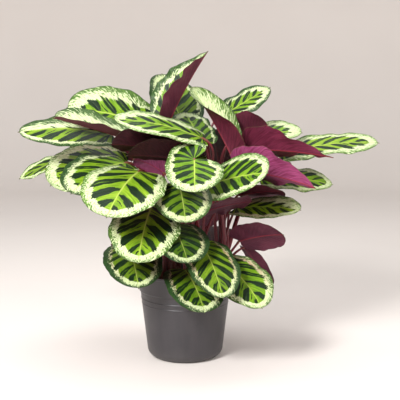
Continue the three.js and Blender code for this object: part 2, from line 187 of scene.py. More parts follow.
# %% A node graph written as formulas
class Finish:
    """A material with one Principled shader and the formulas that feed it.  What goes into a
    formula is a number, a colour or the Value of another one."""

    def __init__(self, name, **settings):
        self.material = bpy.data.materials.new(name)
        self.material.use_nodes = True
        self.tree = self.material.node_tree
        self.shader = self.tree.nodes["Principled BSDF"]
        for key, value in settings.items():
            self.shader.inputs[key.replace("_", " ")].default_value = value

    def put(self, value, socket):
        """Links another node's output, or sets the socket to a plain value."""
        if isinstance(value, Value):
            self.tree.links.new(value.socket, socket)
        else:
            socket.default_value = value

    def feed(self, key, value):
        self.put(value, self.shader.inputs[key])

    def node(self, kind, *values, named=None, **settings):
        """A new node with settings of its own.  Values go to its inputs in order, and named
        ones by name or by number.  Returns what comes out of it."""
        node = self.tree.nodes.new("ShaderNode" + kind)
        for key, value in settings.items():
            setattr(node, key, value)
        for key, value in [*enumerate(values), *(named or {}).items()]:
            self.put(value, node.inputs[key])
        return [Value(self, socket) for socket in node.outputs]

    def math(self, operation, *values):
        return self.node("Math", *values, operation=operation)[0]

    def ramp(self, value, low, high, start=0.0, end=1.0):
        """Rises smoothly from start to end as the value goes from low to high."""
        return self.node("MapRange", value, low, high, start, end,
                         interpolation_type="SMOOTHSTEP")[0]

    def blend(self, share, first, second):
        """The first colour at a share of 0, the second at 1."""
        return self.node("Mix", share, named={6: first, 7: second}, data_type="RGBA")[2]

    def between(self, value, low, high, first, second):
        """The first colour where the value is low, and the second where it is high."""
        return self.blend(self.ramp(value, low, high), tint(*first), tint(*second))

    def vector(self, x, y, z):
        return self.node("CombineXYZ", x, y, z)[0]

    def parts(self, vector):
        return self.node("SeparateXYZ", vector)

    def attribute(self, key):
        """The three numbers that the mesh stores at each point under this name."""
        return self.parts(self.node("Attribute", attribute_name=key)[1])

    def place(self):
        """Where the point is, in metres."""
        return self.node("TexCoord")[3]

    def noise(self, vector, scale, detail=2.0, roughness=0.5):
        return self.node("TexNoise", vector, named={
            "Scale": scale, "Detail": detail, "Roughness": roughness})[0]

    def dice(self, vector):
        """Three random values that stay the same over each whole-number cell."""
        return self.parts(self.node("TexWhiteNoise", vector)[1])

    def relief(self, height, depth, strength):
        """Fine bumps that are too small to be worth their own faces."""
        bumps = self.node("Bump", named={
            "Strength": strength, "Distance": depth, "Height": height})
        self.feed("Normal", bumps[0])

    def tell(self):
        print(self.material.name, "has", len(self.tree.nodes), "nodes")


print("a finish can be told to", ", ".join(name for name in vars(Finish) if name[0] != "_"))

# %% [markdown]
# ## Studio
#
# A plain pale sweep: the floor is a wide disc whose edge curves up into a wall, so that no
# horizon line is seen from any side.  The light is a pale sky with one big soft lamp from the
# upper left in front, a weaker one from the right, and one from above.

# %% The sweep
SWEEP_INNER_RADIUS = 0.5
SWEEP_FLOOR_RADIUS = 2.6
SWEEP_BEND = 0.9
SWEEP_HEIGHT = 2.2
SWEEP_SIDES = 96

studio = Finish("pale_sweep", Roughness=0.55)
studio_grain = studio.noise(studio.place(), 3.0)
studio.feed("Base Color", studio.blend(studio_grain, tint(233, 225, 219), tint(238, 231, 225)))

bend = np.linspace(0, np.pi / 2, 16)
sweep_profile = np.concatenate([
    [[0, 0], [SWEEP_INNER_RADIUS, 0]],
    np.stack([SWEEP_FLOOR_RADIUS + SWEEP_BEND * np.sin(bend),
              SWEEP_BEND * (1 - np.cos(bend))], axis=-1),
    [[SWEEP_FLOOR_RADIUS + SWEEP_BEND, SWEEP_HEIGHT]],
])
sweep_radius, sweep_height = sweep_profile[:, :1], sweep_profile[:, 1:]
sweep_angle = np.linspace(0, 2 * np.pi, SWEEP_SIDES, endpoint=False)
sweep_points = np.stack([sweep_radius * np.cos(sweep_angle), sweep_radius * np.sin(sweep_angle),
                         np.broadcast_to(sweep_height, (len(sweep_profile), SWEEP_SIDES))],
                        axis=-1)
sweep_faces = grid_quads(len(sweep_profile), SWEEP_SIDES, closed=True)[:, ::-1]
sweep = add_mesh("sweep", sweep_points.reshape(-1, 3), [sweep_faces], studio.material)
print("sweep of", SWEEP_FLOOR_RADIUS + SWEEP_BEND, "m radius")

# %% The lamps and the sky
AIM = (0.0, 0.0, 0.3)
SKY_STRENGTH = 0.48


def add_lamp(name, place, size, watts):
    """A square soft lamp that points at the middle of the plant."""
    lamp = bpy.data.lights.new(name, "AREA")
    lamp.size = size
    lamp.energy = watts
    holder = bpy.data.objects.new(name, lamp)
    holder.location = place
    aim = np.array(AIM) - np.array(place)
    flat = np.hypot(aim[0], aim[1])
    holder.rotation_euler = (np.arctan2(flat, -aim[2]), 0, np.arctan2(-aim[0], aim[1]))
    bpy.context.collection.objects.link(holder)


add_lamp("key", (-0.9, -1.6, 1.4), 0.6, 66)
add_lamp("fill", (1.6, -0.9, 1.0), 1.2, 11)
add_lamp("top", (0.2, 0.4, 2.0), 1.2, 14)

world = bpy.data.worlds.new("pale_sky")
world.use_nodes = True
sky = world.node_tree.nodes["Background"]
sky.inputs["Color"].default_value = tint(245, 247, 250)
sky.inputs["Strength"].default_value = SKY_STRENGTH
bpy.context.scene.world = world
bpy.context.scene.view_settings.view_transform = "Standard"
print("lamps:", len(bpy.data.lights))

# %% [markdown]
# ## Pot
#
# A nursery pot is one thin moulded shell: a tapered wall with a rounded foot, a deeper band
# with a lip round the rim, and a few fine rings below the band that stiffen it.  A lathe is the
# natural way to make it, because the profile is all there is to draw.  The corners of a
# moulded pot are never sharp, so each one is replaced by a short curve.

# %% The pot's sizes and its curves
POT_HEIGHT = 150 * MM
POT_BASE_RADIUS = 64 * MM
POT_FLARE = 0.116
POT_WALL = 1.8 * MM
POT_FLOOR = 2.5 * MM
POT_FOOT_ROUND = 16 * MM
BAND_HEIGHT = 32 * MM
BAND_PROUD = 2.2 * MM
LIP_PROUD = 1.0 * MM
RING_HEIGHTS = [95 * MM, 104 * MM]
RING_REACH = 1.2 * MM
RING_FLAT = 0.4 * MM
RING_PROUD = 0.5 * MM
HOLLOW_RADIUS = 34 * MM
HOLLOW_DEPTH = 1.2 * MM
CORNER_ROUND = 0.6 * MM
CORNER_SHARE = 0.4
POT_SIDES = 144


def wall_radius(height):
    """The outside of the plain tapered wall at this height."""
    return POT_BASE_RADIUS + POT_FLARE * height


def foot_curve(round_radius, floor, outer, steps):
    """A quarter circle from the flat floor into the wall."""
    angle = np.linspace(0, np.pi / 2, steps)
    return np.stack([outer - round_radius * (1 - np.sin(angle)),
                     floor + round_radius * (1 - np.cos(angle))], axis=-1)


def softened(corners, reach, steps=4):
    """Each inner corner becomes a small curve that starts and ends within reach of it, and
    never further than a share of the way to the next corner."""
    before, corner, after = corners[:-2], corners[1:-1], corners[2:]
    to_before, to_after = before - corner, after - corner
    length_before = np.linalg.norm(to_before, axis=1, keepdims=True)
    length_after = np.linalg.norm(to_after, axis=1, keepdims=True)
    step_before = to_before * np.minimum(CORNER_SHARE, reach / length_before)
    step_after = to_after * np.minimum(CORNER_SHARE, reach / length_after)
    u = np.linspace(0, 1, steps)[None, :, None]
    curves = (corner[:, None] + (1 - u) ** 2 * step_before[:, None] + u ** 2 * step_after[:, None])
    return np.concatenate([corners[:1], curves.reshape(-1, 2), corners[-1:]])


print("the wall is", round(wall_radius(POT_HEIGHT) / MM, 1), "mm out at the rim")

# %% The pot's profile
band_bottom = POT_HEIGHT - BAND_HEIGHT
foot_radius = wall_radius(POT_FOOT_ROUND)
outside = foot_curve(POT_FOOT_ROUND, 0, foot_radius, 12)
inside = foot_curve(POT_FOOT_ROUND - POT_WALL, POT_FLOOR, foot_radius - POT_WALL, 10)
lip = wall_radius(POT_HEIGHT) + BAND_PROUD + LIP_PROUD
ring_shape = ((-RING_REACH, 0), (-RING_FLAT, RING_PROUD), (RING_FLAT, RING_PROUD), (RING_REACH, 0))
rings = [[wall_radius(height) + grow, height + rise]
         for height in RING_HEIGHTS for rise, grow in ring_shape]
pot_corners = np.array([
    [0, HOLLOW_DEPTH], [HOLLOW_RADIUS, HOLLOW_DEPTH], [HOLLOW_RADIUS + 2 * MM, 0], *outside,
    *rings,
    [wall_radius(band_bottom - 3 * MM), band_bottom - 3 * MM],
    [wall_radius(band_bottom) + BAND_PROUD, band_bottom],
    [wall_radius(POT_HEIGHT - 5 * MM) + BAND_PROUD, POT_HEIGHT - 5 * MM],
    [lip, POT_HEIGHT - 4 * MM], [lip, POT_HEIGHT - 0.2 * MM], [lip - 0.6 * MM, POT_HEIGHT],
    [lip - POT_WALL, POT_HEIGHT],
    [wall_radius(band_bottom) - POT_WALL + BAND_PROUD, band_bottom + 2 * MM],
    [wall_radius(band_bottom) - POT_WALL, band_bottom - 2 * MM],
    *inside[::-1], [0, POT_FLOOR],
])
pot_profile = softened(pot_corners, CORNER_ROUND)
print("pot:", len(pot_profile), "points in the profile,", round(2 * lip / MM), "mm across the rim")

# %% [markdown]
# The plastic is a warm dark grey, satin, with the fine orange-peel grain of a cheap mould, faint
# upright flow marks and a little dust and rubbing low down.

# %% Pot plastic
plastic = Finish("pot_plastic", Roughness=0.4)
spot = plastic.place()
across, deep, high = plastic.parts(spot)
turn = plastic.math("ARCTAN2", deep, across)
flow_place = plastic.vector(turn * 3.0, high * 9.0, 0.0)
flow = plastic.noise(flow_place, 1.5, 2.0)
cloud = plastic.noise(spot, 22.0, 4.0, 0.6)
speck = plastic.noise(spot, 900.0, 2.0)
dust = plastic.ramp(high + cloud * 0.05, 0.06, 0.015)
grey = plastic.between(flow, 0.3, 0.7, (47, 45, 48), (53, 50, 53))
grey = plastic.blend(plastic.ramp(cloud, 0.45, 0.75) * 0.5, grey, tint(61, 57, 60))
grey = plastic.blend(dust * 0.35, grey, tint(84, 80, 78))
plastic.feed("Base Color", grey)
satin = plastic.ramp(cloud, 0.3, 0.8, 0.36, 0.5)
plastic.feed("Roughness", satin + dust * 0.12)
plastic.relief(speck, 0.1 * MM, 0.5)
plastic.tell()

# %% The pot with its drain holes
DRAIN_HOLES = 6
DRAIN_RADIUS = 5 * MM
DRAIN_RING = 36 * MM
PEG_BOTTOM = -5 * MM
PEG_TOP = 8 * MM
PEG_SIDES = 28


def drain_cutters():
    """Upright pegs in a ring through the floor of the pot, as one mesh."""
    profile = np.array([[0, PEG_BOTTOM], [DRAIN_RADIUS, PEG_BOTTOM],
                        [DRAIN_RADIUS, PEG_TOP], [0, PEG_TOP]])
    points, faces = turned(profile, PEG_SIDES)
    turns = np.arange(DRAIN_HOLES) * 2 * np.pi / DRAIN_HOLES
    places = np.stack([DRAIN_RING * np.cos(turns), DRAIN_RING * np.sin(turns), 0 * turns], axis=-1)
    every = (places[:, None] + points).reshape(-1, 3)
    shift = (np.arange(DRAIN_HOLES) * len(points))[:, None, None]
    return every, [(shift + part).reshape(-1, part.shape[1]) for part in faces]


def cut(piece, cutter):
    """Takes the cutter's shape out of the piece, and then takes the cutter away."""
    step = piece.modifiers.new("cut", "BOOLEAN")
    step.operation = "DIFFERENCE"
    step.solver = "EXACT"
    step.object = cutter
    bpy.context.view_layer.objects.active = piece
    bpy.ops.object.modifier_apply(modifier=step.name)
    bpy.data.objects.remove(cutter)


pot_points, pot_faces = turned(pot_profile, POT_SIDES)
pot = add_mesh("nursery_pot", pot_points, pot_faces, plastic.material, sharp=40)
cutter_points, cutter_faces = drain_cutters()
cut(pot, add_mesh("drain_pegs", cutter_points, cutter_faces, plastic.material))
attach(pot, "root")
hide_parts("pot")
print("pot:", len(pot.data.polygons), "faces")

# %% [markdown]
# ## Potting mix
#
# The mix fills the pot to a finger below the rim.  Its body is a lathe whose top is stirred by
# sixty waves of random direction, and some four hundred coarse bits lie on it: bark, fibre and
# a few pale grains of perlite.  Each bit is a dented 20-sided lump, which is enough at its size.

# %% The body of the mix
SOIL_TOP = 131 * MM
SOIL_CROWN = 5 * MM
SOIL_RINGS = 46
SOIL_SIDES = 144
SOIL_CALM = 6 * MM
STIR_SHARE = 0.012
CLEARANCE = 0.3 * MM
SEED = 20
dice = np.random.default_rng(SEED)


def stirred(x, y, waves=60):
    """A bumpy height: a sum of sines of random heading, each as high as a share of its length."""
    length = dice.uniform(5, 26, waves) * MM
    heading = dice.uniform(0, 2 * np.pi, waves)
    phase = dice.uniform(0, 2 * np.pi, waves)
    walk = (x[..., None] * np.cos(heading) + y[..., None] * np.sin(heading)) / length
    return np.sum(STIR_SHARE * length * np.sin(2 * np.pi * walk + phase), axis=-1)


soil_gap = POT_WALL + CLEARANCE
soil_bottom = POT_FLOOR + CLEARANCE
soil_foot = foot_curve(POT_FOOT_ROUND - soil_gap, soil_bottom, foot_radius - soil_gap, 8)
soil_edge = wall_radius(SOIL_TOP) - soil_gap
soil_side = [wall_radius(band_bottom) - soil_gap, band_bottom - 4 * MM]
share = np.linspace(1, 0, SOIL_RINGS)
soil_dome = np.stack([soil_edge * share, SOIL_TOP + SOIL_CROWN * (1 - share ** 2)], axis=-1)
soil_profile = np.concatenate([[[0, soil_bottom]], soil_foot, [soil_side], soil_dome])
soil_points, soil_faces = turned(soil_profile, SOIL_SIDES)
on_top = soil_points[:, 2] > SOIL_TOP - 0.1 * MM
calm = np.clip((soil_edge - np.hypot(soil_points[:, 0], soil_points[:, 1])) / SOIL_CALM, 0, 1)
soil_points[:, 2] += np.where(on_top, calm * stirred(soil_points[:, 0], soil_points[:, 1]), 0)
mix_top = float(soil_points[:, 2].max()) / MM
print("mix:", len(soil_points), "points, top at", round(mix_top, 1), "mm")

# %% The finish of the mix and of the bits
mix = Finish("potting_mix", Roughness=0.95)
spot = mix.place()
bit_kind, bit_shade, _ = mix.attribute("bit")
lumps = mix.noise(spot, 160.0, 6.0, 0.65)
fibre = mix.noise(spot, 520.0, 3.0, 0.7)
brown = mix.between(lumps, 0.35, 0.7, (30, 20, 14), (72, 50, 34))
brown = mix.blend(mix.ramp(fibre, 0.6, 0.75) * 0.6, brown, tint(110, 82, 58))
bark = mix.blend(bit_shade, tint(66, 40, 24), tint(132, 88, 58))
bark = mix.blend(fibre * 0.5, bark, tint(48, 30, 20))
pale = mix.blend(fibre, tint(188, 178, 164), tint(222, 214, 202))
brown = mix.blend(mix.ramp(bit_kind, 0.4, 0.6), brown, bark)
mix.feed("Base Color", mix.blend(mix.ramp(bit_kind, 1.4, 1.6), brown, pale))
mix.relief(lumps + fibre * 0.5, 1.2 * MM, 0.9)
mix.tell()

soil = add_mesh("potting_mix", soil_points, soil_faces, mix.material,
                {"bit": np.zeros((len(soil_points), 3))})
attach(soil, "root")
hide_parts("soil")

# %% The bits on top of the mix
BITS = 420
BITS_REACH = 0.95
BITS_LIFT = 0.4 * MM
PERLITE_SHARE = 0.12
GOLDEN = (1 + 5 ** 0.5) / 2
LUMP_CORNERS = np.array([[-1, GOLDEN, 0], [1, GOLDEN, 0], [-1, -GOLDEN, 0], [1, -GOLDEN, 0],
                         [0, -1, GOLDEN], [0, 1, GOLDEN], [0, -1, -GOLDEN], [0, 1, -GOLDEN],
                         [GOLDEN, 0, -1], [GOLDEN, 0, 1], [-GOLDEN, 0, -1], [-GOLDEN, 0, 1]]) / 1.9
LUMP_FACES = np.array([[0, 11, 5], [0, 5, 1], [0, 1, 7], [0, 7, 10], [0, 10, 11],
                       [1, 5, 9], [5, 11, 4], [11, 10, 2], [10, 7, 6], [7, 1, 8],
                       [3, 9, 4], [3, 4, 2], [3, 2, 6], [3, 6, 8], [3, 8, 9],
                       [4, 9, 5], [2, 4, 11], [6, 2, 10], [8, 6, 7], [9, 8, 1]])


def scattered_bits():
    """Dented lumps, flattened, turned about the upright axis and laid on the dome."""
    corners = len(LUMP_CORNERS)
    radius = soil_edge * BITS_REACH * np.sqrt(dice.uniform(0, 1, BITS))
    angle = dice.uniform(0, 2 * np.pi, BITS)
    size = dice.uniform(0.9, 3.4, (BITS, 1, 1)) * MM
    squash = np.stack([dice.uniform(0.8, 2.0, BITS), dice.uniform(0.6, 1.0, BITS),
                       dice.uniform(0.35, 0.8, BITS)], axis=-1)[:, None]
    dent = dice.uniform(0.75, 1.15, (BITS, corners, 1))
    lump = LUMP_CORNERS * dent * squash * size
    turn = dice.uniform(0, 2 * np.pi, BITS)[:, None]
    x = lump[..., 0] * np.cos(turn) - lump[..., 1] * np.sin(turn)
    y = lump[..., 0] * np.sin(turn) + lump[..., 1] * np.cos(turn)
    height = SOIL_TOP + SOIL_CROWN * (1 - (radius / soil_edge) ** 2) + BITS_LIFT
    points = np.stack([x + (radius * np.cos(angle))[:, None], y + (radius * np.sin(angle))[:, None],
                       lump[..., 2] + height[:, None]], axis=-1)
    faces = LUMP_FACES + (np.arange(BITS) * corners)[:, None, None]
    kind = np.where(dice.uniform(0, 1, BITS) < PERLITE_SHARE, 2.0, 1.0)
    mark = np.stack([kind, dice.uniform(0, 1, BITS), 0 * kind], axis=-1)
    return points.reshape(-1, 3), faces.reshape(-1, 3), np.repeat(mark, corners, axis=0)


bit_points, bit_faces, bit_marks = scattered_bits()
bits = add_mesh("bark_and_perlite", bit_points, [bit_faces], mix.material,
                {"bit": bit_marks}, sharp=30)
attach(bits, "root")
print("bits on the mix:", BITS)

# %% [markdown]
# ## Where the leaves are
#
# No two leaves of a plant stand alike, so their places are a table, one row for each leaf, as
# in the CAD model.  A row starts with the clump that the leaf grows from, the two ends of its
# midrib, its width and how far the midrib bends down.  In all other ways most leaves are
# plain, so what is plain stands once, and a row names only what its own leaf does otherwise.
# The rows stand in the order of the leaves' numbers.

# %% What a plain leaf is like, in millimetres, degrees and shares
PLAIN_LEAF = {
    "roll": 0,             # turn about the midrib
    "twist": 0,            # roll added from base to tip
    "fold": 5,             # how far both halves stand up
    "open": 0,             # how much of the fold is gone at the tip
    "curl": 10,            # how far the halves bow back down
    "taper": 0.47,         # how fast the blade narrows to its tip
    "halves": (1, 1),      # widths of the left and of the right half
    "ears": (0.15, 0.15),  # how far the two halves reach back past the stalk
    "hook": 0,             # how far an ear bends sideways over the end of the stalk
    "joint": 0,            # how sharply the top of the stalk turns the blade over
    "sway": (0, 0),        # how far the stalk leans out on its way up
    "ripple": 1,           # size of the margin's waves
    "band": (1, 1),        # width of the cream band and the rim on the two halves
    "blush": 0.1,          # pink in the cream band
    # painted shade: the next value darkens the colours of a leaf that lies in the shadow of others,
    # and partly of an older leaf
    "shade": 0,            # how dark the leaf is
    # painted light: the next value makes the wine red of a lower face lighter and pinker where it
    # catches the light
    "pink": 0,             # how bright the wine-red face is
}


def grown(shoot, base, tip, width, arch, **more):
    """One row: a plain leaf with a place and with differences of its own.  A row may also set
    its tone, from dull at -1 to rich at 1, and its rim, which is wider and darker on an
    older leaf.  Dice decide where it doesn't."""
    place = {"shoot": shoot, "base": base, "tip": tip, "width": width, "arch": arch}
    return {**PLAIN_LEAF, **place, **more}


print("settings of a plain leaf:", len(PLAIN_LEAF))

# %% The table of leaves
SHOOTS = np.array([[60, -14], [58, 24], [8, -34], [-32, -12],
                   [-14, 30], [24, -4], [-24, 55], [22, 56]]) * MM

LEAVES = [
    grown(4, (-25, -3, 410), (40, 6, 525), 112, 10, roll=15, fold=60, open=0.2,
          halves=(0.88, 0.82), taper=0.95, rim=1.1, tone=-0.6, ripple=1.6),
    grown(5, (-5, 45, 400), (-43, 95, 490), 104, 10, fold=8, halves=(0.92, 1.15), shade=0.55,
          rim=1.3, tone=0.5),
    grown(6, (80, -10, 348), (10, 0, 466), 112, 10, roll=-14, fold=66, curl=8, sway=(-12, 14),
          twist=-60, taper=0.6, open=0.9, halves=(0.7, 0.75), band=(2.4, 2.4), ripple=0.9, rim=0.7,
          tone=0.4, shade=0.35),
    grown(6, (31, 8, 370), (-2, 50, 422), 88, 5, shade=0.35, rim=1.1),
    grown(5, (-64, 30, 402), (-203, 10, 429), 110, 15, roll=-60, fold=8, curl=20, halves=(0.7, 1),
          rim=0.9, band=(1.7, 1.7), tone=-0.3),
    grown(5, (-80, -25, 373), (-215, -55, 414), 100, 4, roll=-15, fold=30, curl=8, sway=(-15, 5),
          halves=(1, 0.85), taper=0.36, rim=1.0, band=(1.0, 2.4), shade=0.1),
    grown(5, (-125, 20, 384), (-280, -20, 389), 108, 22, roll=-32, fold=10, curl=15,
          halves=(1, 0.66), rim=1.1, band=(0.8, 2.4)),
    grown(3, (30, -44, 380), (-112, -96, 413), 80, 22, roll=-28, fold=8, curl=20, sway=(-12, 8),
          rim=0.8, band=(1.0, 1.8), ripple=0.5),
    grown(5, (-145, 84, 345), (-296, 52, 303), 72, 35, roll=-18, sway=(-3, 26), rim=0.9,
          band=(0.85, 1.3), shade=0.3),
    grown(5, (-102, 60, 331), (-228, -20, 298), 118, 45, roll=-36, rim=0.6, blush=0.5, tone=0.6,
          band=(1.2, 1.2)),
    grown(4, (-100, -12, 337), (-180, -104, 294), 112, 40, roll=-20, rim=1.2, band=(1.3, 1.3)),
    grown(4, (-74, -60, 327), (-114, -190, 268), 130, 30, roll=-12, rim=0.75, tone=0.3),
    grown(3, (-8, -40, 352), (-118, -82, 372), 84, 15, roll=42, fold=20, halves=(1, 0.6),
          shade=0.88),
    grown(3, (-5, -49, 344), (-92, -90, 354), 80, 15, roll=40, fold=14, halves=(1, 0.32),
          shade=0.9, ripple=0.5),
    grown(4, (-36, -13, 321), (-86, -28, 344), 76, 30, roll=26, halves=(1, 0.85), pink=0.8,
          shade=0.1),
    grown(3, (17, -104, 350), (18, -146, 301), 92, 16, roll=4, fold=6, curl=12, taper=0.52,
          ears=(0, 1.2), hook=0.55, joint=42, rim=0.9, shade=0.2, tone=-0.5, ripple=0.5),
    grown(3, (-9, -70, 307), (4, -153, 254), 96, 40, shade=0.7, rim=1.0, blush=0.5, ripple=0.4),
    grown(3, (38, -58, 303), (132, -136, 331), 102, 15, roll=42, fold=8, rim=0.9, tone=-0.4,
          shade=0.1, ripple=0.5),
    grown(4, (-54, -40, 268), (-70, -160, 192), 115, 35, roll=-5, shade=0.1, rim=0.9),
    grown(3, (-22, -50, 236), (8, -155, 191), 96, 35, blush=1.0, shade=0.9, rim=1.5, ripple=0.5),
    grown(4, (-96, -30, 197), (-71, -130, 146), 98, 40, blush=0.7, shade=0.6, rim=1.5),
    grown(3, (27, -60, 208), (62, -165, 138), 88, 35, blush=1.0, shade=0.4, rim=1.3),
    grown(1, (60, -42, 172), (125, -132, 114), 92, 40, roll=16, blush=0.8, shade=0.1, rim=0.95),
    grown(3, (0, -52, 162), (34, -140, 109), 98, 35, blush=0.8, shade=0.45, rim=1.5),
    grown(2, (60, 58, 411), (151, 68, 465), 80, 5, roll=28, sway=(21, 17), band=(1.5, 1.5),
          shade=0.15),
    grown(2, (91, 42, 379), (144, 22, 400), 90, 10, roll=-20, fold=32, curl=8, sway=(8, 0)),
    grown(2, (100, 74, 378), (207, 54, 385), 90, 20, roll=22, fold=8, sway=(14, 6),
          band=(1.7, 1.7), rim=0.6, ripple=0.6),
    grown(1, (104, 24, 357), (247, -46, 348), 94, 12, roll=-34, fold=24, taper=1.4,
          ears=(0.15, 0.02), halves=(1, 1.12), joint=40, sway=(10, 4), pink=0.15, tone=0.9,
          ripple=1.5),
    grown(2, (172, 60, 347), (340, 36, 368), 100, 22, roll=20, sway=(36, 14), band=(1.4, 1.4),
          tone=0.7, rim=0.8),
    grown(1, (89, -18, 325), (215, -72, 300), 108, 15, roll=-40, fold=24, taper=1, joint=45,
          sway=(12, -2), pink=0.8, ripple=1.6),
    grown(2, (133, 50, 303), (260, 34, 295), 95, 20, roll=20, joint=40, sway=(24, 4),
          ears=(0.04, 0.04)),
    grown(2, (92, 20, 278), (165, -30, 291), 96, 10, roll=-18, joint=40, sway=(22, 0), shade=0.4),
    grown(6, (35, -70, 262), (112, -55, 276), 85, 15, roll=-25, sway=(34, -2), shade=0.45,
          tone=-0.9),
    grown(1, (88, 10, 257), (194, -50, 261), 78, 15, roll=22, joint=50, ripple=0.6, tone=1.0,
          rim=0.6, blush=0.6, band=(2.2, 1.0)),
    grown(1, (93, -10, 202), (164, -70, 223), 78, 15, roll=-42, joint=60, ripple=0.5, tone=-0.9,
          shade=0.25),
    grown(1, (103, 14, 187), (151, 34, 112), 50, 15, roll=-20, fold=10, taper=0.4,
          halves=(0.72, 0.9), joint=60, ripple=0.5, tone=-0.8, shade=0.3),
    grown(7, (-30, 60, 395), (-105, 165, 325), 105, 45, fold=8, curl=12, sway=(-8, 4)),
    grown(2, (42, 60, 390), (62, 165, 318), 105, 40, fold=8, curl=12, shade=0.7, ripple=0.4),
    grown(8, (85, 80, 320), (190, 175, 318), 100, 35, fold=8, curl=12, ripple=0.5),
    grown(7, (-64, 110, 306), (-162, 180, 244), 105, 45, fold=8, curl=12),
    grown(7, (-42, 86, 262), (-125, 192, 232), 110, 40, fold=8, curl=12, ripple=0.5),
    grown(8, (24, 70, 270), (24, 194, 186), 98, 40, fold=8, curl=12, ripple=0.4),
    grown(2, (91, 72, 257), (163, 176, 230), 92, 40, fold=8, curl=12, ripple=0.5),
    grown(7, (-52, 54, 206), (-122, 162, 148), 96, 40, fold=8, curl=12),
    grown(8, (4, 70, 190), (-10, 174, 126), 92, 40, fold=8, curl=12, shade=0.8),
    grown(8, (38, 62, 216), (52, 168, 156), 80, 40, fold=8, curl=12, shade=0.9),
    grown(7, (16, 66, 338), (-26, 186, 302), 88, 45, fold=8, curl=12),
    grown(5, (-10, 90, 420), (-30, 190, 450), 95, 30, fold=8, curl=12),
]
print("leaves:", len(LEAVES), "on", len(SHOOTS), "clumps of stalks")

# %% [markdown]
# ## The shape of a blade
#
# A blade is a function of two parameters: t runs along the midrib from the stalk to the tip,
# and s runs across from the left edge at -1 to the right edge at 1.  The midrib is an arc of a
# circle.  The half-width is an oval with a short drawn-out tip.  Each half stands up by the
# fold and bows back down by the curl.  Real margins also swim up and down in slow waves, and
# between its side veins the blade is gently pleated.

# %% The outline
HEEL = 2.0 * MM
TIP_SHARE = 0.018
TIP_HALF = 2.5 * MM
TIP_BLUNT = 0.25 * MM
TIP_REACH = 3 * TIP_SHARE
TIP_POWER = 0.8
BASE_POWER = 0.42
HEEL_SHARE = 0.05
EAR_ROOT = 0.02
EAR_FADE = 3
HOOK_ROOT = 0.006
HOOK_FADE = 16


def oval(t, tip_power):
    """Zero at both ends and one at the widest place.  A higher power at the tip moves the
    widest place towards the stalk and draws the tip out."""
    peak = BASE_POWER / (BASE_POWER + tip_power)
    t = np.clip(t, 0, 1)
    return t ** BASE_POWER * (1 - t) ** tip_power / (peak ** BASE_POWER * (1 - peak) ** tip_power)


def half_width(leaf, t, s):
    """The oval stops short of the tip, and a small point carries on from it.  A narrow heel
    holds the stalk.  The three are joined as the cube root of the sum of their cubes."""
    left, right = leaf["halves"]
    body = leaf["width"] / 2 * MM * oval(t / (1 - TIP_SHARE), leaf["taper"])
    body = body * np.where(s < 0, left, right)
    point = TIP_BLUNT + TIP_HALF * np.clip((1 - t) / TIP_REACH, 0, 1) ** TIP_POWER
    heel = HEEL * np.clip(1 - t / HEEL_SHARE, 0, 1)
    return (body ** 3 + point ** 3 + heel ** 3) ** (1 / 3)


def ear(leaf, s):
    """How strongly a point belongs to the ear on its side, as a share of the length."""
    left, right = leaf["ears"]
    return np.where(s < 0, left, right) * s ** 2


def drawn_back(leaf, t, s):
    """The ears of the blade reach back past the stalk, most at the edge and near the base."""
    return t - ear(leaf, s) * t / (t + EAR_ROOT) * (1 - t) ** EAR_FADE


def hooked(leaf, t, s):
    """An ear may also bend sideways over the end of the stalk."""
    reach = leaf["hook"] * leaf["width"] * MM * ear(leaf, s)
    return -np.sign(s) * reach * t / (t + HOOK_ROOT) * (1 - t) ** HOOK_FADE


widest = max(half_width(leaf, np.linspace(0, 1, 50), 1.0).max() for leaf in LEAVES)
print("widest half of a blade:", round(float(widest) / MM, 1), "mm")

# %% The midrib
def midrib(leaf, t):
    """Walks an arc of a circle from the base to the tip.  The blade's right side and its
    upper face are turned about the midrib by the roll.  Returns the place, the heading, the
    side, the face and the length of the whole arc."""
    base, tip = np.array(leaf["base"]) * MM, np.array(leaf["tip"]) * MM
    chord = tip - base
    across = np.hypot(chord[0], chord[1])
    bend = np.radians(leaf["arch"])
    first_pitch = np.arctan2(chord[2], across) + bend / 2
    length = np.linalg.norm(chord) * (bend / 2) / np.sin(bend / 2)
    pitch = np.asarray(first_pitch - bend * t)[..., None]
    ahead = np.array([chord[0] / across, chord[1] / across, 0])
    right = np.array([ahead[1], -ahead[0], 0])
    up = np.array([0, 0, 1])
    run = length / bend * (np.sin(first_pitch) - np.sin(pitch))
    rise = length / bend * (np.cos(pitch) - np.cos(first_pitch))
    place = base + run * ahead + rise * up
    heading = np.cos(pitch) * ahead + np.sin(pitch) * up
    normal = np.cross(right, heading)
    roll = np.radians(leaf["roll"] + leaf["twist"] * (np.asarray(t)[..., None] - 0.5))
    side = np.cos(roll) * right - np.sin(roll) * normal
    face = np.cos(roll) * normal + np.sin(roll) * right
    return place, heading, side, face, length


rib_lengths = [float(midrib(leaf, 0.0)[4]) / MM for leaf in LEAVES]
print("midribs from", round(min(rib_lengths)), "to", round(max(rib_lengths)), "mm long")

# %% [markdown]
# The side veins leave the midrib at a slant and bow towards the tip, and below the first of
# them they fan out from the top of the stalk.  Numbering them gives a coordinate that is
# constant along each vein, and both the pleats and the painted stripes follow it.

# %% The vein coordinate
VEIN_LEAD = 0.46
VEIN_BOW = 1.12
VEIN_SHORTENING = 0.3
FAN = 0.36


def flat_place(leaf, t, s):
    """Where a point lies on the flattened blade, from the stalk: sideways and forward."""
    across = s * half_width(leaf, t, s) + hooked(leaf, t, s)
    return across, drawn_back(leaf, t, s) * midrib(leaf, 0.0)[4]


def bearing(leaf, t, s):
    """The angle of a point as seen from the end of the stalk: 0 is straight out sideways."""
    across, forward = flat_place(leaf, t, s)
    return np.arctan2(forward, across * np.sign(s))


